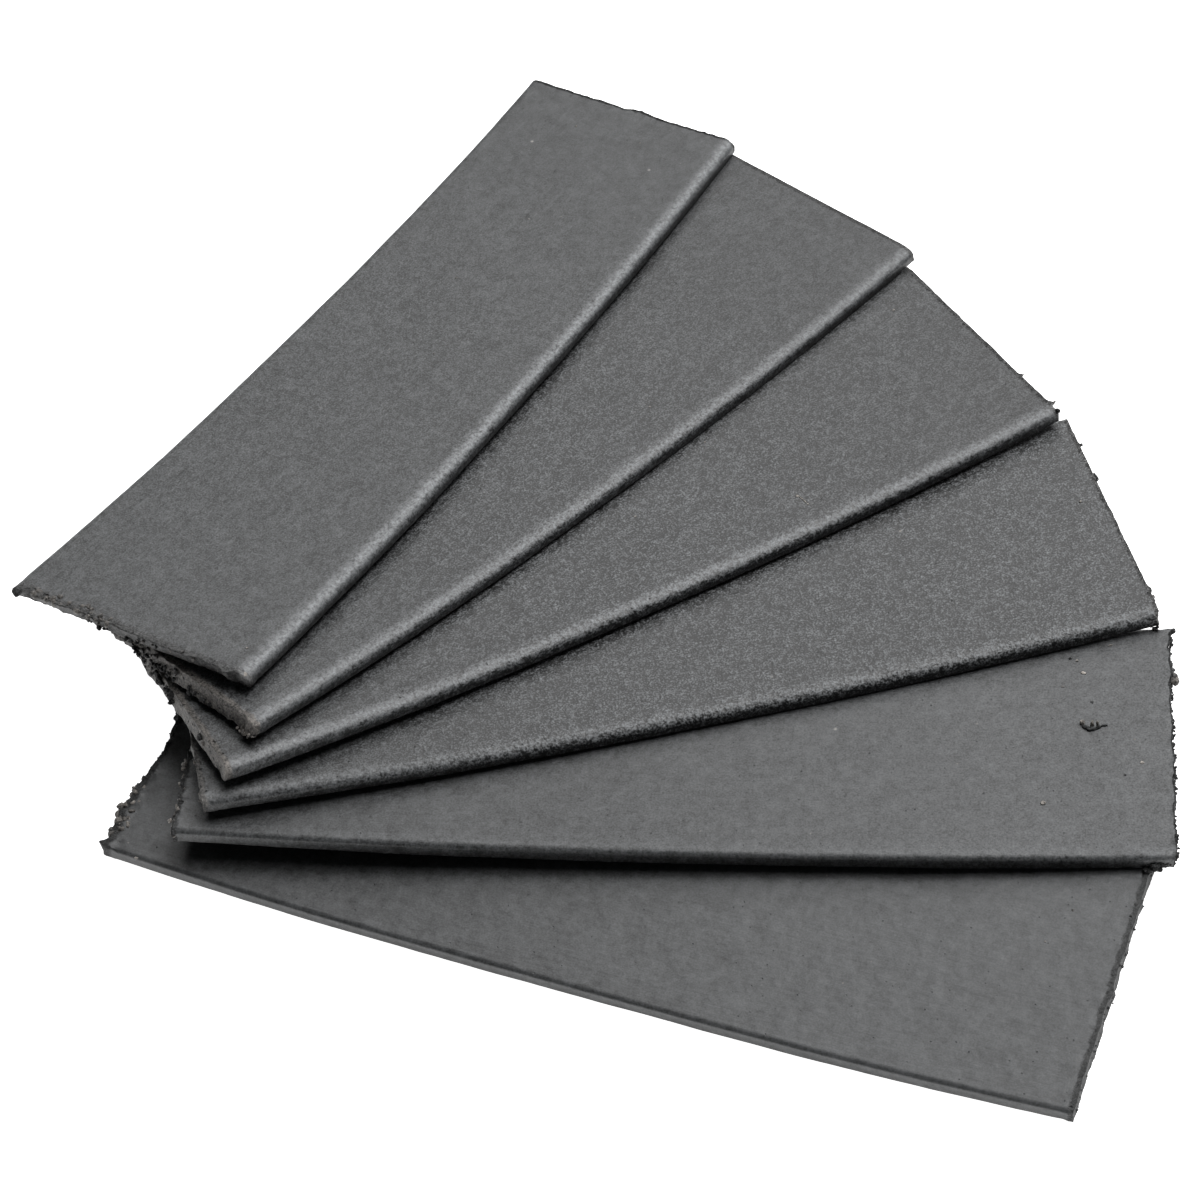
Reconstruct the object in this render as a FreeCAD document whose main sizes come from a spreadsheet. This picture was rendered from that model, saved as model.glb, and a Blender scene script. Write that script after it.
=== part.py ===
import FreeCAD, Part
import math
import os

import Sketcher

# Six flat rubber strips, fanned out and lying loosely on one another.
#
# Every strip is one piece: a thin rectangular bar with rounded long edges and square-cut ends,
# flat in its middle and curled up a little towards both ends. Strip 6 lies flat on the table.
# Each of the others lies across the strips below it, with its gathered end up on the pile and its
# back edge down near the table, so it leans two ways: it droops towards its spread end and tilts
# towards its back edge.
#
# Lengths are millimetres and angles are degrees. +Z is up from the table, and +X runs from the
# gathered ends of the fan to its spread ends. The origin is on the table, under the middle of the
# fan's bounding box. In a strip's own frame X runs along it from the gathered end to the spread
# end, Y runs to its back edge, and the origin is the middle of its underside.

COMMON_SIZES = {"thickness": 1.6, "edge_radius": 0.7}

STRIP_SIZES = ("length", "width", "flat", "curl", "x", "y", "z", "heading", "droop", "tilt")
STRIPS = {
    "strip_1": (100.5, 29.4, 10.0, 2.0, -17.1, 27.6, 5.1, 53.1, 6.6, 2.4),
    "strip_2": (100.1, 30.0, 10.0, 2.3, -5.9, 17.0, 3.65, 39.8, 5.7, 3.4),
    "strip_3": (99.7, 30.3, 10.0, 2.1, 1.4, 3.4, 3.0, 23.5, 4.4, 4.6),
    "strip_4": (100.3, 30.5, 10.0, 1.6, 6.6, -11.1, 2.25, 7.0, 2.9, 4.5),
    "strip_5": (99.9, 30.3, 10.0, 1.1, 7.0, -27.4, 1.65, -9.9, 1.2, 4.3),
    "strip_6": (100.4, 29.8, 40.0, 1.0, -0.8, -40.9, 0.0, -26.2, 0.0, 0.0),
}

SMALLEST_GAP = 0.05
LEVEL = 0.001

START, END, CENTRE = 1, 2, 3
ORIGIN = (-1, START)
VERTICAL_AXIS = -2
DOWN = -math.pi / 2


def make_sheet(doc):
    """The spreadsheet of driving dimensions: a plain number and an alias in each row."""
    sheet = doc.addObject("Spreadsheet::Sheet", "Sizes")
    sizes = dict(COMMON_SIZES)
    for strip, values in STRIPS.items():
        for size, value in zip(STRIP_SIZES, values):
            sizes[f"{strip}_{size}"] = value
    for row, (alias, value) in enumerate(sizes.items(), start=1):
        sheet.set(f"A{row}", alias)
        sheet.set(f"B{row}", str(value))
        sheet.setAlias(f"B{row}", alias)
    doc.recompute()
    return sheet


def line(start, end):
    return Part.LineSegment(FreeCAD.Vector(start), FreeCAD.Vector(end))


def arc(centre, radius, start_angle, end_angle):
    circle = Part.Circle(FreeCAD.Vector(centre), FreeCAD.Vector(0, 0, 1), radius)
    return Part.ArcOfCircle(circle, start_angle, end_angle)


def draw_side_view(sketch, sheet, strip):
    """Side view of a strip: a flat middle, an arc up to each end, and ends cut square to the arcs."""
    length, flat, curl = (sheet.get(f"{strip}_{size}") for size in ("length", "flat", "curl"))
    thickness = sheet.thickness
    curled = (length - flat) / 2
    radius = (curled**2 + curl**2) / (2 * curl)
    sweep = math.asin(curled / radius)
    far_centre, near_centre = (flat / 2, radius, 0), (-flat / 2, radius, 0)

    under_flat = sketch.addGeometry(line((-flat / 2, 0, 0), (flat / 2, 0, 0)))
    under_far = sketch.addGeometry(arc(far_centre, radius, DOWN, DOWN + sweep))
    under_near = sketch.addGeometry(arc(near_centre, radius, DOWN - sweep, DOWN))
    top_flat = sketch.addGeometry(line((flat / 2, thickness, 0), (-flat / 2, thickness, 0)))
    top_far = sketch.addGeometry(arc(far_centre, radius - thickness, DOWN, DOWN + sweep))
    top_near = sketch.addGeometry(arc(near_centre, radius - thickness, DOWN - sweep, DOWN))
    far_end = sketch.addGeometry(
        line(sketch.getPoint(under_far, END), sketch.getPoint(top_far, END))
    )
    near_end = sketch.addGeometry(
        line(sketch.getPoint(top_near, START), sketch.getPoint(under_near, START))
    )

    for kind, *points in (
        ("Tangent", under_flat, END, under_far, START),
        ("Coincident", under_far, END, far_end, START),
        ("Coincident", far_end, END, top_far, END),
        ("Tangent", top_far, START, top_flat, START),
        ("Tangent", top_flat, END, top_near, END),
        ("Coincident", top_near, START, near_end, START),
        ("Coincident", near_end, END, under_near, START),
        ("Tangent", under_near, END, under_flat, START),
        ("Coincident", under_far, CENTRE, top_far, CENTRE),
        ("Coincident", under_near, CENTRE, top_near, CENTRE),
        ("PointOnObject", under_far, CENTRE, far_end),
        ("PointOnObject", under_near, CENTRE, near_end),
        ("Symmetric", under_flat, START, under_flat, END, *ORIGIN),
        ("Symmetric", under_near, START, under_far, END, VERTICAL_AXIS),
        ("Horizontal", under_flat),
        ("Horizontal", top_flat),
    ):
        sketch.addConstraint(Sketcher.Constraint(kind, *points))

    for name, kind, start, end, size in (
        ("flat", "DistanceX", (under_flat, START), (under_flat, END), f"{strip}_flat"),
        ("length", "DistanceX", (under_near, START), (under_far, END), f"{strip}_length"),
        ("curl", "DistanceY", (under_flat, END), (under_far, END), f"{strip}_curl"),
        ("thickness", "DistanceY", (under_flat, END), (top_flat, START), "thickness"),
    ):
        index = sketch.addConstraint(Sketcher.Constraint(kind, *start, *end, sheet.get(size)))
        sketch.renameConstraint(index, name)
        sketch.setExpression(f"Constraints.{name}", f"Sizes.{size}")


def long_edges(shape, thickness):
    """Names of the edges that run along the strip, which are the ones that are rounded."""
    return [
        f"Edge{number}"
        for number, edge in enumerate(shape.Edges, start=1)
        if edge.BoundBox.XLength > thickness
    ]


def make_strip(doc, sheet, strip):
    """One strip: its side view padded across the width, then its long edges rounded."""
    body = doc.addObject("PartDesign::Body", strip)
    body.Label = strip

    sketch = body.newObject("Sketcher::SketchObject", f"{strip}_side_view")
    side_plane = next(o for o in body.Origin.OriginFeatures if o.Role == "XZ_Plane")
    sketch.AttachmentSupport = (side_plane, "")
    sketch.MapMode = "FlatFace"
    draw_side_view(sketch, sheet, strip)

    pad = body.newObject("PartDesign::Pad", f"{strip}_blank")
    pad.Profile = sketch
    pad.SideType = "Symmetric"
    pad.setExpression("Length", f"Sizes.{strip}_width")
    doc.recompute()

    rounding = body.newObject("PartDesign::Fillet", f"{strip}_rounded")
    rounding.Base = (pad, long_edges(pad.Shape, sheet.thickness))
    rounding.setExpression("Radius", "Sizes.edge_radius")

    place = "; ".join(f"Sizes.{strip}_{axis}" for axis in "xyz")
    lean = f"Sizes.{strip}_heading; Sizes.{strip}_droop; -Sizes.{strip}_tilt"
    body.setExpression("Placement", f"placement(vector({place}); rotation({lean}))")
    return body


def check(doc, strips):
    """Stops if anything failed to build, a strip meets another, or one reaches below the table."""
    failed = [o.Name for o in doc.Objects if {"Invalid", "Error"} & set(o.State)]
    if failed:
        raise RuntimeError(f"these objects failed: {failed}")
    for strip in strips:
        if strip.Shape.isNull() or not strip.Shape.isValid() or len(strip.Shape.Solids) != 1:
            raise RuntimeError(f"{strip.Label} is not one valid solid")
        if strip.Shape.optimalBoundingBox().ZMin < -LEVEL:
            raise RuntimeError(f"{strip.Label} reaches below the table")
    for number, upper in enumerate(strips):
        for lower in strips[number + 1 :]:
            gap = upper.Shape.distToShape(lower.Shape)[0]
            print(f"{upper.Label} to {lower.Label}: {gap:.3f} mm")
            if gap < SMALLEST_GAP:
                raise RuntimeError(f"{upper.Label} and {lower.Label} are only {gap:.3f} mm apart")


def main():
    doc = FreeCAD.newDocument("fanned_strips")
    sheet = make_sheet(doc)
    strips = [make_strip(doc, sheet, strip) for strip in STRIPS]
    doc.recompute()
    check(doc, strips)
    whole = Part.makeCompound([strip.Shape for strip in strips]).optimalBoundingBox()
    print(f"middle of the box: {whole.Center}, size {whole.XLength} {whole.YLength} {whole.ZLength}")
    os.makedirs("parts", exist_ok=True)
    for strip in strips:
        strip.Shape.exportStep(f"parts/{strip.Label}.step")


main()
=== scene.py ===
import itertools
import math

import bpy
import numpy as np
from mathutils import Matrix, Vector


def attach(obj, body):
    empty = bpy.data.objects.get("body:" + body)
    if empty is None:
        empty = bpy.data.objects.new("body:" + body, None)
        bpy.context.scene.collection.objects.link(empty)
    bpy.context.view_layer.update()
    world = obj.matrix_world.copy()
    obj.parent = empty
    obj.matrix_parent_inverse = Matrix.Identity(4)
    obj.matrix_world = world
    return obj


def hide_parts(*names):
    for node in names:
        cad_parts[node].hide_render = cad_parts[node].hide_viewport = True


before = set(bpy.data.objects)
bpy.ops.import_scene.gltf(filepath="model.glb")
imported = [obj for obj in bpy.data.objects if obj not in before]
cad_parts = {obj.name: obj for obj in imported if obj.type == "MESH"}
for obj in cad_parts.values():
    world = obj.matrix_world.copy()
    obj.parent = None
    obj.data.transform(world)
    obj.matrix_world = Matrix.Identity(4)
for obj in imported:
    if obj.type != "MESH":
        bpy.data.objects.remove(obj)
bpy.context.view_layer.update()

# Six flat rubber strips, fanned out and lying loosely on one another.
#
# Each strip is shaped here in its own frame, in millimetres: "along" runs from its gathered end to
# its spread end, measured over the curl, "across" runs to its back edge and "up" to its top face.
# The zero of all three is the middle of its underside.

THICKNESS = 1.6

# How the long edges are rounded, in mm: how far in from the side the rounding starts, and how far
# down the side it ends. The upper strips' top front edges roll off further than the rest.
TOP_FRONT = {
    "strip_1": (2.0, 0.85),
    "strip_2": (2.0, 0.85),
    "strip_3": (2.0, 0.85),
    "strip_4": (1.8, 0.85),
    "strip_5": (0.7, 0.5),
    "strip_6": (0.6, 0.4),
}
TOP_BACK = (0.9, 0.6)
BOTTOM = (0.2, 0.12)

# The lie of each strip, the same as in the CAD: length, width, length of the flat middle, rise of
# the ends above it, place of the middle of the underside, heading, droop and tilt (mm and degrees).
LAYOUT = {
    "strip_1": (100.5, 29.4, 10.0, 2.0, (-17.1, 27.6, 5.1), 53.1, 6.6, 2.4),
    "strip_2": (100.1, 30.0, 10.0, 2.3, (-5.9, 17.0, 3.65), 39.8, 5.7, 3.4),
    "strip_3": (99.7, 30.3, 10.0, 2.1, (1.4, 3.4, 3.0), 23.5, 4.4, 4.6),
    "strip_4": (100.3, 30.5, 10.0, 1.6, (6.6, -11.1, 2.25), 7.0, 2.9, 4.5),
    "strip_5": (99.9, 30.3, 10.0, 1.1, (7.0, -27.4, 1.65), -9.9, 1.2, 4.3),
    "strip_6": (100.4, 29.8, 40.0, 1.0, (-0.8, -40.9, 0.0), -26.2, 0.0, 0.0),
}

# How far the long edges stand out from straight ones, in mm, at the gathered end, the middle and the
# spread end.
FRONT_EDGE = {
    "strip_1": (0.2, -0.3, -1.15),
    "strip_2": (-0.2, 0.1, -0.1),
    "strip_3": (0.0, 0.2, 0.15),
    "strip_4": (-0.5, 0.25, 0.6),
    "strip_5": (-0.8, -0.05, 0.2),
    "strip_6": (-1.28, -0.2, -0.38),
}
BACK_EDGE = {
    "strip_1": (0.55, 0.4, 0.65),
    "strip_2": (0.0, 0.0, 0.0),
    "strip_3": (0.0, 0.0, 0.15),
    "strip_4": (0.0, 0.1, 0.5),
    "strip_5": (0.0, 0.1, 0.45),
    "strip_6": (0.0, 0.0, 0.2),
}

# The two ends of a strip, and which way along it each one lies.
SIDES = {"gathered": -1, "spread": 1}

# The cut ends, in mm. "out" is how far the top edge stands out from a square cut, "slant" how much
# further out its back corner is than its front one, "lean" how much further out the top edge is
# than the underside, and "rough" the height of the tearing. "pale" is how pale the bare cut is.
# Each burr is its place across, how far it sticks out (a notch if negative), its width across, and
# its place up the thickness, from 0 to 1.
ENDS = {
    ("strip_1", "gathered"): dict(out=1.35, slant=0.25, lean=0.8, rough=0.12, pale=0.3, burrs=[
        (14.3, 0.5, 0.45, 0.9), (13.0, -0.5, 0.6, 0.9), (-14.0, -0.5, 0.8, 0.7),
        (-13.2, -0.5, 0.35, 0.9), (-12.4, 0.3, 0.5, 0.7), (6.0, -0.3, 0.8, 0.9),
        (2.6, -0.25, 0.7, 0.8), (-9.5, -0.3, 2.0, 0.8),
    ]),
    ("strip_1", "spread"): dict(out=0.45, slant=0.4, lean=0.1, rough=0.06, pale=0.05, burrs=[
        (-0.6, 0.3, 1.8, 0.8), (1.9, -0.2, 0.6, 0.9), (-12.4, 0.2, 0.9, 0.8),
        (-10.5, 0.2, 0.35, 0.8), (-9.3, 0.15, 0.3, 0.8), (-14.4, -0.55, 0.5, 0.8),
        (14.0, 0.15, 0.9, 0.8),
    ]),
    ("strip_2", "gathered"): dict(out=0.75, slant=-0.1, lean=-0.35, rough=0.12, pale=0.9, burrs=[
        (-14.5, 0.2, 0.5, 0.2), (-13.6, 0.25, 0.4, 0.1), (7.0, 0.5, 0.5, 0.5), (9.5, 0.6, 0.6, 0.6),
    ]),
    ("strip_2", "spread"): dict(out=0.0, slant=0.1, lean=0.0, rough=0.015, pale=0.3, burrs=[
        (-15.1, -0.25, 0.4, 0.5),
    ]),
    ("strip_3", "gathered"): dict(out=0.75, slant=0.8, lean=-0.35, rough=0.07, pale=0.9, burrs=[
        (-14.6, 0.2, 0.5, 0.3), (3.0, 0.4, 0.5, 0.5),
    ]),
    ("strip_3", "spread"): dict(out=0.03, slant=0.05, lean=0.0, rough=0.04, pale=0.3, burrs=[
        (-8.0, 0.3, 0.15, 0.8), (-13.7, 0.35, 0.3, 0.9), (-14.9, 0.3, 0.35, 0.6),
    ]),
    ("strip_4", "gathered"): dict(out=0.3, slant=0.0, lean=0.1, rough=0.10, pale=0.6, burrs=[
        (-13.5, 0.3, 0.4, 0.5), (-7.0, 0.3, 0.5, 0.6),
    ]),
    ("strip_4", "spread"): dict(out=-0.15, slant=0.15, lean=0.0, rough=0.05, pale=0.35, burrs=[
        (11.1, 0.15, 0.2, 0.6), (5.9, 0.2, 0.5, 0.3), (-12.0, 0.3, 0.4, 0.8),
        (-13.2, 0.25, 0.3, 0.8), (-15.9, -0.5, 0.6, 0.5),
    ]),
    ("strip_5", "gathered"): dict(out=0.45, slant=0.0, lean=0.0, rough=0.14, pale=0.15, burrs=[
        (-9.6, 0.3, 0.5, 0.8), (-12.6, 0.3, 0.5, 0.8), (-5.0, 0.3, 0.6, 0.6),
    ]),
    ("strip_5", "spread"): dict(out=-0.15, slant=0.65, lean=0.12, rough=0.12, pale=0.0, burrs=[
        (15.0, 0.3, 0.3, 0.8), (12.6, -0.3, 0.5, 0.7), (8.7, 0.4, 0.5, 0.5), (-4.2, 0.3, 0.6, 0.6),
        (-8.0, 0.15, 0.4, 0.6), (-12.0, 0.3, 0.4, 0.5),
    ]),
    ("strip_6", "gathered"): dict(out=0.65, slant=-0.9, lean=0.0, rough=0.17, pale=0.2, burrs=[
        (-13.1, 0.8, 0.35, 0.8), (-8.3, 0.6, 2.8, 0.6), (-0.2, -0.55, 1.9, 0.6),
        (5.5, 0.7, 1.6, 0.6),
    ]),
    ("strip_6", "spread"): dict(out=0.3, slant=0.1, lean=0.0, rough=0.07, pale=0.22, burrs=[
        (9.9, 0.35, 0.35, 0.6), (-0.7, 0.35, 0.6, 0.6), (-3.0, -0.15, 0.8, 0.6),
        (4.4, 0.15, 0.6, 0.6),
    ]),
}

# Low bumps and dents in the top faces: place along and across, radius and height, in mm.
PIMPLES = {
    "strip_1": [(28.9, 1.3, 0.7, 0.10), (6.1, -4.4, 0.8, -0.12), (5.5, -4.0, 0.5, 0.06)],
    "strip_5": [(-20.0, -6.0, 1.2, 0.03)],
}

# Single crumbs and specks stuck to the strips: place along and across, length, width and height,
# how far they are turned, in mm and degrees, and how pale they are (0 is black, 1 brown-grey and 6
# white). One whose place along is past CUT_END sits on the cut end, and the others on the top face.
CUT_END = 49.0
CRUMBS = {
    "strip_1": [
        (15.3, 3.5, 0.25, 0.2, 0.1, 0, 6), (2.6, -1.8, 0.25, 0.2, 0.1, 40, 4),
        (45.4, 5.6, 0.3, 0.2, 0.1, 0, 4), (45.8, -3.2, 0.25, 0.2, 0.1, 0, 5),
        (-47.4, -12.2, 0.3, 0.25, 0.1, 0, 4), (28.2, 1.6, 0.2, 0.2, 0.1, 0, 4),
        (-50.6, -14.2, 0.7, 0.5, 0.3, 20, 3.5), (50.2, 4.8, 0.45, 1.7, 0.2, 8, 0),
        (50.3, -1.2, 0.5, 2.8, 0.2, -6, 0), (50.2, 1.4, 0.35, 0.9, 0.2, 0, 0),
        (-51.9, 14.4, 1.2, 0.9, 0.8, 30, 0.1),
    ],
    "strip_2": [
        (-50.6, -14.7, 0.6, 0.4, 0.3, 10, 3.5), (-20.0, -3.0, 0.25, 0.2, 0.1, 0, 3),
        (12.0, -9.0, 0.2, 0.2, 0.1, 0, 4),
    ],
    "strip_3": [
        (19.9, -10.6, 0.16, 1.8, 0.08, 7, 4), (19.7, -9.8, 0.35, 0.3, 0.1, 0, 5),
        (20.0, -11.5, 0.25, 0.2, 0.1, 0, 4), (3.4, -2.9, 0.3, 0.2, 0.1, 0, 5),
        (15.8, 3.3, 0.25, 0.2, 0.1, 0, 4), (50.2, -8.0, 0.7, 0.15, 0.2, 20, 1),
        (50.4, -13.7, 0.8, 0.25, 0.3, 25, 2), (50.1, -15.0, 0.5, 0.6, 0.5, 0, 0),
        (44.6, 9.6, 0.3, 0.25, 0.1, 0, 3),
    ],
    "strip_4": [
        (50.35, 11.2, 0.35, 0.35, 0.4, 0, 0), (50.25, 6.0, 0.35, 1.4, 0.4, 8, 0),
        (50.1, -11.8, 0.4, 0.5, 0.4, 0, 2), (50.1, -12.9, 0.4, 0.4, 0.3, 30, 2.5),
        (47.4, 2.6, 0.3, 0.25, 0.1, 0, 4), (20.0, 6.0, 0.3, 0.2, 0.1, 0, 4),
    ],
    "strip_5": [
        (41.2, 1.7, 0.8, 0.45, 0.4, -30, 0), (41.7, 1.4, 0.9, 0.5, 0.45, 5, 0),
        (42.4, 1.6, 0.75, 0.4, 0.35, 30, 0), (43.0, 1.85, 0.8, 0.2, 0.3, 15, 0),
        (40.8, 2.2, 0.5, 0.4, 0.6, 0, 3.5), (41.8, 1.85, 0.45, 0.3, 1.0, 30, 2.5),
        (42.35, 1.95, 0.3, 0.25, 0.8, 0, 2), (36.7, -8.2, 0.55, 0.45, 0.15, 0, 4),
        (41.2, 9.1, 0.6, 0.3, 0.2, -20, 6), (40.5, 10.9, 0.25, 0.25, 0.15, 0, 6),
        (46.6, -3.1, 0.4, 0.35, 0.15, 0, 5), (44.9, -4.7, 0.3, 0.25, 0.1, 0, 0),
        (39.8, 11.2, 0.35, 0.3, 0.15, 0, 0), (44.0, 13.0, 0.5, 0.2, 0.1, 20, 2.5),
        (41.9, 5.1, 0.35, 0.3, 0.1, 0, 0), (46.0, 0.0, 0.2, 0.2, 0.1, 0, 3),
        (39.0, 7.3, 0.3, 0.15, 0.1, 0, 3), (49.9, 15.0, 1.4, 0.55, 0.5, 4, 0.0),
        (50.5, 15.15, 0.6, 0.75, 0.45, 0, 0.0), (50.2, 8.9, 0.9, 1.2, 0.7, 15, 0.5),
        (50.3, 8.1, 0.8, 0.9, 0.6, 50, 1), (50.6, 8.5, 0.4, 0.4, 0.4, 0, 2.5),
        (50.1, 9.6, 0.7, 0.7, 0.6, 0, 0.2), (50.5, 8.2, 0.4, 0.6, 0.6, 0, 2.2),
        (49.2, 13.9, 0.5, 0.5, 0.3, 0, 0.5),
    ],
    "strip_6": [
        (44.5, 7.5, 0.25, 0.2, 0.1, 0, 3), (42.9, 3.3, 0.25, 0.2, 0.1, 0, 3),
        (-47.4, -13.8, 0.4, 0.3, 0.15, 0, 2.5), (-50.5, -6.4, 0.8, 0.9, 0.3, 0, 1.6),
        (-50.3, -12.2, 0.9, 0.8, 0.3, 20, 1.3), (-46.0, -8.0, 0.2, 0.2, 0.1, 0, 3),
    ],
}

# Rows of small crumbs along the cut ends: strip, end, from and to across, how many, the smallest
# and largest size, the furthest in and out from the top edge, from and to up the thickness, and the
# least and most pale.
CRUMB_ROWS = [
    ("strip_1", "gathered", (2.0, 12.5), 52, (0.3, 0.95), (-1.2, 0.0), (1.35, 1.55), (0.2, 1.3)),
    ("strip_1", "gathered", (-12.5, 8.0), 30, (0.2, 0.6), (-0.5, 0.1), (1.0, 1.6), (0.0, 1.2)),
    ("strip_1", "gathered", (-1.0, 5.0), 12, (0.3, 0.7), (-0.9, -0.3), (0.0, 0.4), (0.0, 0.1)),
    ("strip_2", "gathered", (-3.0, 8.5), 40, (0.3, 0.9), (-0.2, 0.6), (0.1, 1.4), (0.0, 0.8)),
    ("strip_2", "gathered", (-8.0, 4.0), 44, (0.3, 0.7), (0.1, 0.6), (-0.1, 0.5), (0.0, 0.2)),
    ("strip_2", "gathered", (-14.8, -12.6), 12, (0.3, 0.7), (0.2, 0.7), (-0.2, 0.4), (0.3, 3.0)),
    ("strip_3", "gathered", (-2.5, 5.0), 70, (0.3, 0.8), (-0.1, 0.35), (0.1, 1.5), (0.0, 0.15)),
    ("strip_3", "gathered", (-8.9, -8.7), 1, (0.95, 1.0), (0.15, 0.2), (0.8, 0.9), (0.0, 0.0)),
    ("strip_3", "gathered", (-9.7, -9.5), 2, (0.5, 0.6), (0.2, 0.25), (0.5, 0.7), (1.6, 1.8)),
    ("strip_4", "gathered", (-14.5, -6.0), 9, (0.2, 0.4), (-0.1, 0.2), (0.2, 1.5), (0.3, 1.6)),
    ("strip_5", "gathered", (-14.5, -3.0), 30, (0.25, 0.7), (-0.4, 0.2), (0.6, 1.6), (0.5, 2.8)),
    ("strip_6", "gathered", (-13.0, 3.0), 40, (0.2, 0.6), (-0.4, 0.3), (0.4, 1.6), (0.0, 0.4)),
    ("strip_6", "gathered", (-12.5, -5.0), 50, (0.4, 1.1), (-1.4, 0.2), (0.9, 1.55), (0.7, 3.2)),
    ("strip_6", "gathered", (3.5, 10.5), 60, (0.6, 1.4), (-0.5, 0.5), (0.2, 1.7), (0.0, 0.1)),
    ("strip_5", "spread", (-15.0, 15.0), 170, (0.2, 0.5), (-0.15, 0.15), (0.2, 1.5), (0.0, 0.15)),
    ("strip_5", "spread", (-15.7, -14.4), 14, (0.4, 0.8), (-2.2, -0.2), (0.1, 0.9), (0.0, 0.0)),
    ("strip_5", "spread", (-15.6, -15.0), 16, (0.6, 1.0), (-3.0, -1.2), (0.0, 0.6), (0.0, 0.0)),
    ("strip_4", "spread", (-15.0, -11.0), 12, (0.15, 0.45), (-0.2, 0.15), (0.6, 1.6), (0.0, 2.0)),
    ("strip_4", "spread", (-16.2, -15.3), 9, (0.3, 0.6), (-0.9, -0.2), (-0.6, 0.3), (0.0, 0.1)),
    ("strip_3", "spread", (-15.0, -13.0), 7, (0.15, 0.45), (-0.2, 0.15), (0.4, 1.5), (0.0, 1.0)),
    ("strip_6", "spread", (-14.0, 14.0), 40, (0.15, 0.4), (-0.15, 0.12), (0.3, 1.4), (0.0, 0.15)),
]


# ---- noise -------------------------------------------------------------------------------------


def lattice(cell, seed):
    """A repeatable number from -1 to 1 for each whole-number cell."""
    mixed = (cell * np.array([73856093, 19349663, 83492791])).sum(axis=-1) + seed * 668265263
    mixed = (mixed ^ (mixed >> 13)) * 1274126177 & 0xFFFFFFFF
    return ((mixed ^ (mixed >> 16)) & 0xFFFF) / 32767.5 - 1


def noise(points, size, seed, octaves=1):
    """Smooth noise at an array of points, with features about the given size apart."""
    total, weight = 0.0, 1.0
    for octave in range(octaves):
        grid = points * 2**octave / size
        cell = np.floor(grid).astype(np.int64)
        ease = grid - cell
        ease = ease * ease * (3 - 2 * ease)
        for corner in itertools.product((0, 1), repeat=3):
            share = np.where(corner, ease, 1 - ease).prod(axis=-1)
            total = total + weight * share * lattice(cell + corner, seed + octave)
        weight /= 2
    return total


def bump(distance, width):
    return np.exp(-((distance / width) ** 2))


# ---- strip meshes ------------------------------------------------------------------------------

# The torn ends have a finer grid along the strip, and the surface follows the tearing over END_ZONE.
END_ZONE = 2.6
END_CELLS = 20
MIDDLE_CELLS = 225
FLAT_CELLS = 110
TOP_CORNER_CELLS = 7
SIDE_CORNER_CELLS = 5
CRUMB_CELLS = (4, 4, 4)

# The crest of the top front edge, where it is rubbed and chipped and carries a painted highlight:
# how far in from the side, and how far below the top face.
CREST = (0.75, 0.15)


def steps(*stops):
    """Evenly spaced numbers through the stops: value, cells, value, cells, value."""
    spans = zip(stops[::2], stops[1::2], stops[2::2])
    parts = [np.linspace(start, stop, cells, endpoint=False) for start, cells, stop in spans]
    return np.append(np.concatenate(parts), stops[-1])


def box_surface(cells):
    """The points on the surface of a box of grid cells, and the quads between them."""
    shape = [n + 1 for n in cells]
    index = np.indices(shape)
    last = np.array(cells).reshape(3, 1, 1, 1)
    surface = ((index == 0) | (index == last)).any(axis=0)
    number = np.full(shape, -1)
    number[surface] = np.arange(surface.sum())
    quads = []
    for axis, end in itertools.product(range(3), (0, -1)):
        side = np.take(number, end, axis=axis)
        quad = np.stack([side[:-1, :-1], side[1:, :-1], side[1:, 1:], side[:-1, 1:]], axis=-1)
        quad = quad.reshape(-1, 4)
        quads.append(quad if (end == -1) != (axis == 1) else quad[:, ::-1])
    return np.argwhere(surface), np.concatenate(quads)


def rounded_section(width, top_front):
    """A grid of (across, up) points that fills a strip's cross-section, a bar with rounded corners."""
    over = np.linspace(0, math.pi / 4, TOP_CORNER_CELLS + 1)
    down = np.linspace(math.pi / 4, 0, SIDE_CORNER_CELLS + 1)

    def corner(side, roll, drop):
        """A rounded corner in two halves: from the face to its middle, and from there to the side."""
        inner = width / 2 - roll
        return (
            np.stack([side * (inner + roll * np.sin(over)), THICKNESS - drop * (1 - np.cos(over))]),
            np.stack([side * (inner + roll * np.cos(down)), THICKNESS - drop * (1 - np.sin(down))]),
        )

    def face(front, back):
        """A long face, between the halves of its two corners."""
        flat = np.linspace(front[0, 0], back[0, 0], FLAT_CELLS + 1)[1:-1]
        return np.concatenate([front[:, ::-1], [flat, 0 * flat + THICKNESS], back], axis=1)

    def turned_over(points):
        return points * [[1], [-1]] + [[0], [THICKNESS]]

    front_over, front_down = corner(-1, *top_front)
    back_over, back_down = corner(1, *TOP_BACK)
    front_under, front_rise = corner(-1, *BOTTOM)
    back_under, back_rise = corner(1, *BOTTOM)
    top = face(front_over, back_over)
    bottom = turned_over(face(front_under, back_under))
    front = np.concatenate([turned_over(front_rise), front_down[:, ::-1]], axis=1)
    back = np.concatenate([turned_over(back_rise), back_down[:, ::-1]], axis=1)

    v = np.linspace(0, 1, top.shape[1])[None, :, None]
    w = np.linspace(0, 1, back.shape[1])[None, None, :]
    between = (1 - w) * bottom[:, :, None] + w * top[:, :, None]
    between += (1 - v) * front[:, None, :] + v * back[:, None, :]
    between -= (1 - v) * ((1 - w) * bottom[:, :1, None] + w * top[:, :1, None])
    between -= v * ((1 - w) * bottom[:, -1:, None] + w * top[:, -1:, None])
    return between


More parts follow.
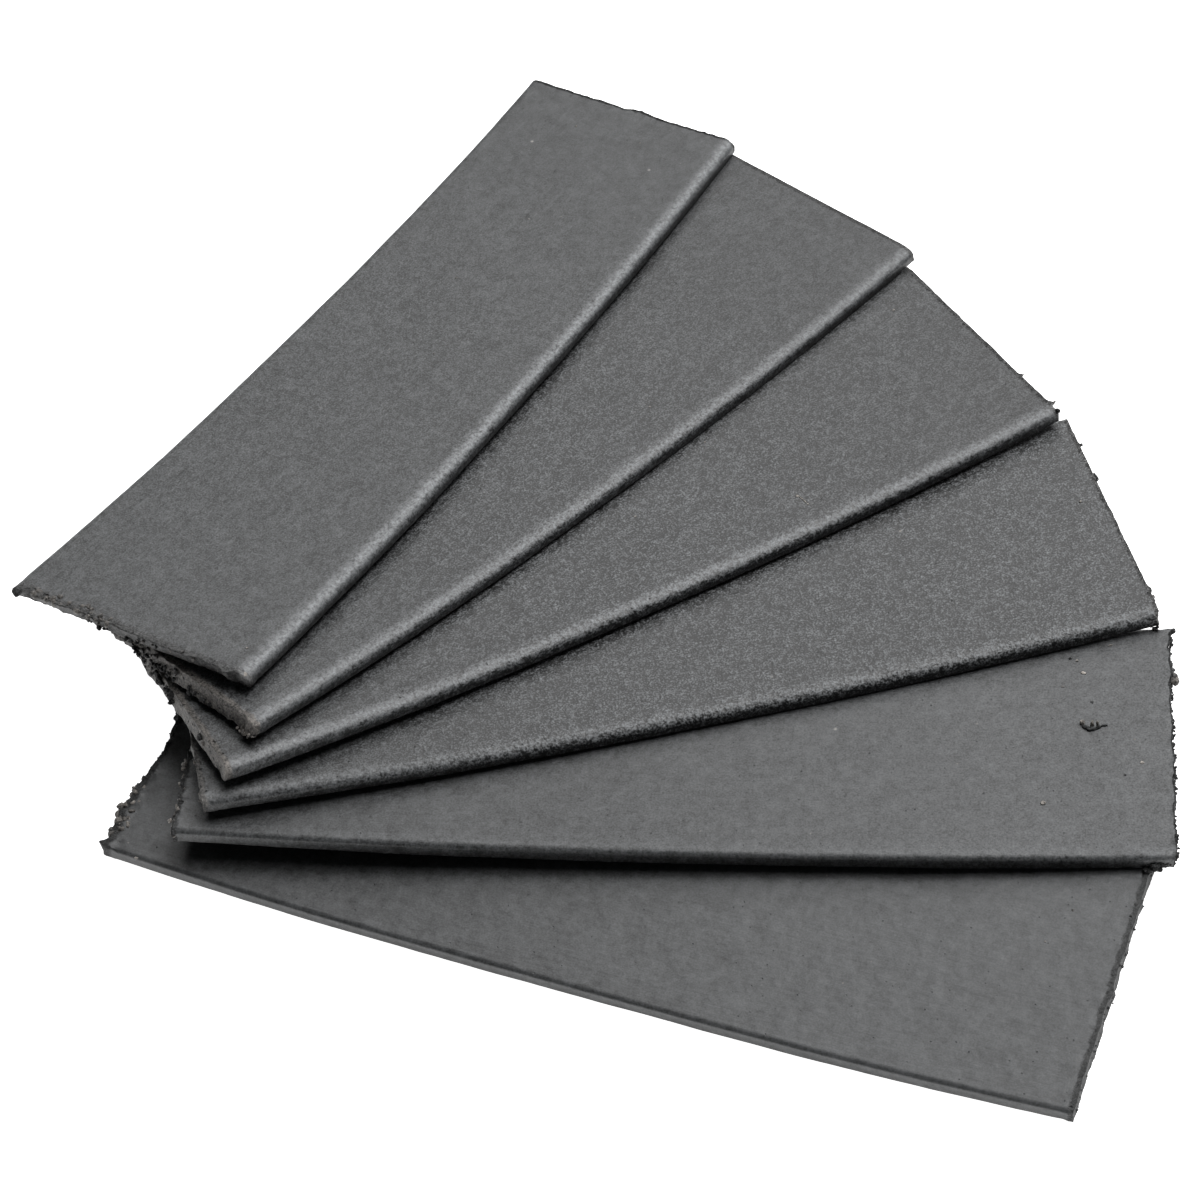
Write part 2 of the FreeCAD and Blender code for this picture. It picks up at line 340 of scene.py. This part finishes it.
def curled(strip, points):
    """From (along, across, up) on the strip as if flat to its curled shape, in its own frame."""
    length, _, flat, curl = LAYOUT[strip][:4]
    run = (length - flat) / 2
    radius = (run**2 + curl**2) / (2 * curl)
    along, across, up = points.T
    turn = np.clip(np.abs(along) - flat / 2, 0, None) / radius
    reach = np.minimum(np.abs(along), flat / 2) + (radius - up) * np.sin(turn)
    return np.stack([np.sign(along) * reach, across, radius - (radius - up) * np.cos(turn)], axis=1)


def half_length(strip):
    """Half of the strip's length, measured over the curl."""
    length, _, flat, curl = LAYOUT[strip][:4]
    run = (length - flat) / 2
    radius = (run**2 + curl**2) / (2 * curl)
    return flat / 2 + radius * math.asin(run / radius)


def strip_place(strip):
    """The matrix from a strip's own frame to the row frame, in metres."""
    place, heading, droop, tilt = LAYOUT[strip][4:]
    turn = (
        Matrix.Rotation(math.radians(heading), 4, "Z")
        @ Matrix.Rotation(math.radians(droop), 4, "Y")
        @ Matrix.Rotation(math.radians(-tilt), 4, "X")
    )
    return Matrix.Translation(Vector(place) / 1000) @ turn


def end_shape(strip, end, points, seed):
    """How far the torn end of a strip stands out from a square cut, in mm."""
    shape = ENDS[strip, end]
    seed = seed + 20 * (SIDES[end] + 2)
    across, up = points[:, 1], points[:, 2] / THICKNESS
    flat = points * [0, 1, 1]
    out = shape["out"] + shape["slant"] * across / LAYOUT[strip][1] + shape["lean"] * (up - 1)
    out += shape["rough"] * (noise(flat, 2.6, seed, 2) + 0.8 * noise(flat, 0.9, seed + 7, 3))
    for where, height, wide, level in shape["burrs"]:
        peak = bump(across - where, wide) * bump(up - level, 0.55)
        out += height * peak * (1 + 0.35 * noise(flat, 0.35, seed + 11))
    return out


def shaped(strip, seed):
    """The strip's surface as if flat: points, quads, each point's wear and painted highlight, torn,
    pale.
    """
    half = half_length(strip)
    width = LAYOUT[strip][1]
    section = rounded_section(width, TOP_FRONT[strip])
    along = steps(
        -half, END_CELLS, END_ZONE - half, MIDDLE_CELLS, half - END_ZONE, END_CELLS, half
    )
    grid, quads = box_surface((len(along) - 1, section.shape[1] - 1, section.shape[2] - 1))
    i, j, k = grid.T
    points = np.stack([along[i], section[0, j, k], section[1, j, k]], axis=1)

    middle = THICKNESS / 2
    inner = width / 2 - middle
    core = np.stack([np.clip(points[:, 1], -inner, inner), np.full(len(points), middle)], axis=1)
    outward = (points[:, 1:] - core) / middle

    crest = (CREST[0] - width / 2, THICKNESS - CREST[1])
    to_crest = np.hypot(points[:, 1] - crest[0], points[:, 2] - crest[1])
    # Rubbed wear and a painted highlight along the top front edge: 1 at its crest, fading away from
    # it.
    crest_wear_and_painted_highlight = bump(to_crest, 0.7)
    inset = half - np.abs(points[:, 0])
    near_end = np.clip(1 - inset / END_ZONE, 0, 1) ** 2
    on_cut = inset < 1e-6
    rough, pale = (
        np.where(points[:, 0] < 0, *(ENDS[strip, end][key] for end in SIDES))
        for key in ("rough", "pale")
    )
    torn = np.where(on_cut, 1.0, bump(inset, np.minimum(0.25 + 1.5 * pale, 0.6)))

    lumps = 0.035 * noise(points, 9.0, seed + 1, 2) + 0.010 * noise(points, 1.6, seed + 2, 2)
    chips = 0.01 * bump(to_crest, 0.5) * noise(points * [0.5, 1, 1], 0.55, seed + 3, 2)
    crumble = rough * bump(inset, 0.9) * noise(points, 0.6, seed + 4, 2)
    points[:, 1:] += outward * (lumps + chips + crumble)[:, None]
    for x, y, radius, height in PIMPLES.get(strip, ()):
        far = np.hypot(points[:, 0] - x, points[:, 1] - y)
        points[:, 2] += height * bump(far, radius) * (points[:, 2] > THICKNESS / 2)

    for side, lines in ((-1, FRONT_EDGE), (1, BACK_EDGE)):
        bow = np.polyval(np.polyfit((-half, 0, half), lines[strip], 2), points[:, 0])
        points[:, 1] += side * bow * np.clip(0.5 + side * points[:, 1] / width, 0, 1) ** 2

    for end, side in SIDES.items():
        here = np.sign(points[:, 0]) == side
        fringe = on_cut[here] * noise(points[here], 0.33, seed + 5, 2)
        reach = end_shape(strip, end, points[here], seed)
        reach += 0.4 * ENDS[strip, end]["rough"] * fringe
        points[here, 0] += side * near_end[here] * reach
    return points, quads, crest_wear_and_painted_highlight, torn, pale


def crumb(place, size, turn, seed):
    """A lumpy crumb's points and quads, from its place and size (along, across, up) and its turn."""
    grid, quads = box_surface(CRUMB_CELLS)
    points = grid / (np.array(CRUMB_CELLS) / 2) - 1
    points /= np.linalg.norm(points, axis=1)[:, None]
    points *= 1 + 0.45 * noise(points + seed, 0.7, seed)[:, None]
    points *= np.array(size) / 2
    turned = np.array(Matrix.Rotation(math.radians(turn), 3, "Z"))
    return points @ turned.T + place, quads


def crumbs_of(strip, seed):
    """All the crumbs on a strip: each one's points and quads, and how pale it is."""
    for number, (x, y, *size, turn, pale) in enumerate(CRUMBS[strip]):
        place = (x, y, THICKNESS + 0.3 * size[2] if abs(x) < CUT_END else THICKNESS - 0.3)
        yield *crumb(place, size, turn, seed + number), pale

    random = np.random.default_rng(seed)
    half = half_length(strip)
    for owner, end, across, count, sizes, reach, up, pale in CRUMB_ROWS:
        if owner != strip:
            continue
        side = SIDES[end]
        for number in range(count):
            y = random.uniform(*across)
            edge = end_shape(strip, end, np.array([[0, y, THICKNESS]]), seed)[0]
            x = side * (half + edge + random.uniform(*reach))
            size = random.uniform(*sizes) * random.uniform(0.5, 1.0, 3)
            turn = random.uniform(0, 180)
            place = (x, y, random.uniform(*up))
            yield *crumb(place, size, turn, seed + 50 + number), random.uniform(*pale)


def mesh_object(name, points, quads, matrix):
    """A smooth-shaded mesh from points in mm, moved into the row frame by the matrix, in metres."""
    mesh = bpy.data.meshes.new(name)
    mesh.from_pydata((points / 1000).tolist(), [], quads.tolist())
    mesh.transform(matrix)
    mesh.shade_smooth()
    obj = bpy.data.objects.new(name, mesh)
    bpy.context.scene.collection.objects.link(obj)
    return obj


def store(obj, name, kind, values):
    """Gives the mesh an attribute with one value for each point."""
    attribute = obj.data.attributes.new(name, kind, "POINT")
    key = "vector" if kind == "FLOAT_VECTOR" else "value"
    attribute.data.foreach_set(key, np.ascontiguousarray(values, dtype=np.float32).ravel())


def make_strip(strip, seed, material):
    """One strip and its crumbs, as one mesh that takes the place of the strip's CAD solid."""
    points, quads, crest_wear_and_painted_highlight, torn, pale = shaped(strip, seed)
    for crumb_points, crumb_quads, crumb_pale in crumbs_of(strip, seed):
        quads = np.concatenate([quads, crumb_quads + len(points)])
        points = np.concatenate([points, crumb_points])
        blank = np.ones(len(crumb_points))
        crest_wear_and_painted_highlight, torn = np.append(crest_wear_and_painted_highlight, 0 * blank), np.append(torn, blank)
        pale = np.append(pale, crumb_pale * blank)
    obj = mesh_object(f"{strip}_rubber", curled(strip, points), quads, strip_place(strip))
    store(obj, "surface", "FLOAT_VECTOR", points)
    store(obj, "crest_wear_and_painted_highlight", "FLOAT", crest_wear_and_painted_highlight)
    store(obj, "torn", "FLOAT", torn)
    store(obj, "pale", "FLOAT", pale)
    obj.data.materials.append(material)
    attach(obj, strip)
    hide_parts(strip)


# ---- material ----------------------------------------------------------------------------------


class Graph:
    """Builds a material's nodes: each call makes one node and returns its first output."""

    def __init__(self, name):
        self.material = bpy.data.materials.new(name)
        self.material.use_nodes = True
        self.tree = self.material.node_tree
        self.tree.nodes.clear()

    def node(self, kind, inputs=(), output=0, **settings):
        made = self.tree.nodes.new(kind)
        for key, value in settings.items():
            setattr(made, key, value)
        for key, value in dict(inputs).items():
            if isinstance(value, bpy.types.NodeSocket):
                self.tree.links.new(value, made.inputs[key])
            else:
                made.inputs[key].default_value = value
        return made.outputs[output]

    def math(self, operation, *values):
        return self.node("ShaderNodeMath", dict(enumerate(values)), operation=operation)

    def add(self, *values):
        total = values[0]
        for value in values[1:]:
            total = self.math("ADD", total, value)
        return total

    def times(self, *values):
        total = values[0]
        for value in values[1:]:
            total = self.math("MULTIPLY", total, value)
        return total

    def span(self, value, low, high, to_low=0.0, to_high=1.0):
        """Maps low..high to to_low..to_high, smoothly and clamped."""
        return self.node(
            "ShaderNodeMapRange",
            {0: value, 1: low, 2: high, 3: to_low, 4: to_high},
            interpolation_type="SMOOTHSTEP",
        )

    def noise(self, where, scale, detail, roughness):
        """Noise centred on zero."""
        value = self.node(
            "ShaderNodeTexNoise",
            {"Vector": where, "Scale": scale, "Detail": detail, "Roughness": roughness},
        )
        return self.math("SUBTRACT", value, 0.5)

    def spots(self, where, scale, size, share):
        """Round spots, 1 in the middle and 0 outside, in the given share of the cells."""
        cells = {"Vector": where, "Scale": scale}
        distance = self.node("ShaderNodeTexVoronoi", cells)
        chance = self.node("ShaderNodeTexVoronoi", cells, output=1)
        chance = self.node("ShaderNodeSeparateColor", {0: chance})
        kept = self.math("LESS_THAN", chance, share)
        return self.times(self.span(distance, 0.0, size, 1.0, 0.0), kept)

    def finish(self, inputs):
        """Ends the material with a Principled shader that has these inputs."""
        shader = self.node("ShaderNodeBsdfPrincipled", inputs)
        output = self.tree.nodes.new("ShaderNodeOutputMaterial")
        self.tree.links.new(shader, output.inputs["Surface"])
        return self.material


def rubber(name, offset, end_tones_and_painted_shade, grains, streak, wear_and_painted_highlight):
    """Matte dark rubber, with painted shade that makes its sides and underside darker than its top.
    bases is how pale its top is at the gathered and the spread end; along strips 5 and 6 the darker
    gathered end is painted shade under the pile and the paler spread end is painted light. grains
    is how strong its pebbling is at the gathered end, the middle and the spread end. streak is how
    strong its lengthwise marks are, and worn is how pale its top front edge is, from rubbed wear and
    a painted highlight."""
    g = Graph(name)
    surface = g.node("ShaderNodeAttribute", attribute_name="surface", output=1)
    crest_wear_and_painted_highlight = g.node("ShaderNodeAttribute", attribute_name="crest_wear_and_painted_highlight", output=2)
    torn = g.node("ShaderNodeAttribute", attribute_name="torn", output=2)
    pale = g.node("ShaderNodeAttribute", attribute_name="pale", output=2)
    where = g.node("ShaderNodeVectorMath", {0: surface, 1: (offset, 0, 0)}, operation="ADD")
    drawn = g.node("ShaderNodeVectorMath", {0: where, 1: (0.06, 1.5, 1.0)}, operation="MULTIPLY")
    along = g.node("ShaderNodeSeparateXYZ", {0: surface})
    up = g.node("ShaderNodeSeparateXYZ", {0: surface}, output=2)
    # Painted shade: the sides and underside darker than the top, and strips 5 and 6 darker at the
    # gathered end under the pile, with painted light making their spread end paler.
    base_and_painted_shade = g.times(g.span(along, -50.0, 50.0, *end_tones_and_painted_shade), g.span(up, 0.2, 1.3, 0.4, 1.0))
    gathered, middle, spread = grains
    grain = g.add(
        g.span(along, -48.0, -5.0, gathered, middle),
        g.span(along, 5.0, 48.0, 0.0, spread - middle),
    )

    fine = g.times(g.noise(where, 5.0, 1.0, 0.6), grain)
    pebble = g.times(g.noise(where, 2.2, 1.0, 0.5), grain)
    mottle = g.noise(where, 0.9, 2.0, 0.6)
    swell = g.noise(where, 0.45, 2.0, 0.6)
    blotch = g.noise(where, 0.09, 3.0, 0.55)
    marks = g.noise(drawn, 1.0, 4.0, 0.6)
    pits = g.spots(where, 1.3, 0.16, 0.30)
    specks = g.spots(where, 0.55, 0.09, 0.14)
    dust = g.spots(where, 0.17, 0.05, 0.25)

    # Painted highlight with rubbed wear: the top front edge is paler, most on the strips whose front
    # edges face the right-hand light.
    edge = g.times(crest_wear_and_painted_highlight, g.span(g.noise(where, 2.2, 3.0, 0.7), -0.25, 0.25, 0.3, 1.5))
    cut = g.math("ADD", torn, g.times(g.noise(where, 1.4, 3.0, 0.6), 0.8))
    cut = g.times(g.span(cut, 0.35, 0.75), g.span(torn, 0.0, 0.2))
    dark = g.times(cut, g.span(pale, 0.0, 0.5, 1.0, 0.0))
    pores = g.spots(where, 1.6, 0.35, 0.35)
    crust = g.noise(where, 2.5, 4.0, 0.75)

    tone = g.add(
        base_and_painted_shade,
        g.times(fine, 0.40),
        g.times(pebble, 0.20),
        g.times(mottle, 0.055),
        g.times(swell, 0.030),
        g.times(blotch, 0.012),
        g.times(marks, 0.015 * streak),
        g.times(pits, -0.02),
        g.times(dark, -0.036),
        g.times(specks, 0.09),
        g.times(dust, 0.22),
        g.times(edge, wear_and_painted_highlight),
        g.times(cut, pale, g.add(0.05, g.times(crust, 0.24), g.times(pores, -0.10))),
    )
    tone = g.math("MAXIMUM", tone, 0.003)
    cool, warm = (
        g.node("ShaderNodeCombineColor", {0: g.times(tone, red), 1: tone, 2: g.times(tone, blue)})
        for red, blue in ((0.96, 1.035), (1.10, 0.90))
    )
    bare = g.times(cut, g.span(pale, 0.0, 1.0, 0.1, 0.9))
    warmth = g.math("MAXIMUM", bare, g.math("MAXIMUM", specks, dust))
    colour = g.node("ShaderNodeMix", {0: warmth, 6: cool, 7: warm}, output=2, data_type="RGBA")

    height = g.add(
        g.times(fine, 0.015),
        g.times(pebble, 0.05),
        g.times(swell, 0.10),
        g.times(marks, 0.03 * streak),
        g.times(pits, -0.05),
        g.times(cut, g.add(g.times(crust, 0.25), g.times(pores, -0.20))),
    )
    normal = g.node("ShaderNodeBump", {"Strength": 1.0, "Distance": 0.001, "Height": height})
    roughness = g.add(0.48, g.times(fine, 0.4), g.times(pebble, 0.25), g.times(dark, 0.4))
    return g.finish({"Base Color": colour, "Roughness": roughness, "Normal": normal})


# What each strip's rubber is like: bases, grains, streak and worn. The darker gathered ends of
# strips 5 and 6 are painted shade and their paler spread ends painted light; worn is rubbed wear and
# a painted highlight, strongest on the strips whose front edges face the right-hand light.
FINISH = {
    "strip_1": ((0.046, 0.045), (0.45, 0.65, 0.2), 1.0, 0.13),
    "strip_2": ((0.039, 0.040), (0.55, 1.15, 0.4), 0.8, 0.10),
    "strip_3": ((0.036, 0.039), (0.55, 1.4, 0.8), 0.8, 0.10),
    "strip_4": ((0.035, 0.037), (0.45, 1.4, 1.55), 0.7, 0.06),
    "strip_5": ((0.039, 0.061), (0.25, 0.35, 0.5), 1.4, 0.02),
    "strip_6": ((0.038, 0.057), (0.15, 0.22, 0.2), 1.2, 0.0),
}

for number, strip in enumerate(LAYOUT, start=1):
    make_strip(strip, 100 * number, rubber(f"{strip}_rubber", 230 * number, *FINISH[strip]))


# ---- floor, light and camera -------------------------------------------------------------------


def plain_floor():
    side = 3.0
    corners = np.array([(-side, -side, 0), (side, -side, 0), (side, side, 0), (-side, side, 0)]) * 1000
    floor = mesh_object("floor", corners, np.array([(0, 1, 2, 3)]), Matrix.Identity(4))
    floor.data.materials.append(Graph("floor").finish(
        {"Base Color": (0.93, 0.93, 0.93, 1), "Roughness": 0.9,
         "Emission Color": (1, 1, 1, 1), "Emission Strength": 1.1}
    ))


def soft_light(name, place, size, power):
    """A square area light that faces the middle of the fan."""
    light = bpy.data.lights.new(name, "AREA")
    light.shape = "SQUARE"
    light.size = size
    light.energy = power
    obj = bpy.data.objects.new(name, light)
    bpy.context.scene.collection.objects.link(obj)
    obj.location = place
    obj.rotation_euler = (-Vector(place)).to_track_quat("-Z", "Y").to_euler()


plain_floor()
soft_light("back", (0.26, 0.82, 0.88), 1.2, 12.5)
soft_light("right", (0.46, 0.20, 1.00), 0.6, 9.0)

world = bpy.data.worlds.new("world")
world.use_nodes = True
world.node_tree.nodes["Background"].inputs["Color"].default_value = (1, 1, 1, 1)
world.node_tree.nodes["Background"].inputs["Strength"].default_value = 0.06
bpy.context.scene.world = world
bpy.context.scene.view_settings.view_transform = "Standard"

camera = bpy.data.cameras.new("camera")
camera.lens = 97.9
camera.clip_start = 0.01
view = bpy.data.objects.new("camera", camera)
bpy.context.scene.collection.objects.link(view)
view.location = (0.0020, -0.2294, 0.26915)
view.rotation_euler = [math.radians(angle) for angle in (39.565, 5.12, -5.856)]
bpy.context.scene.camera = view
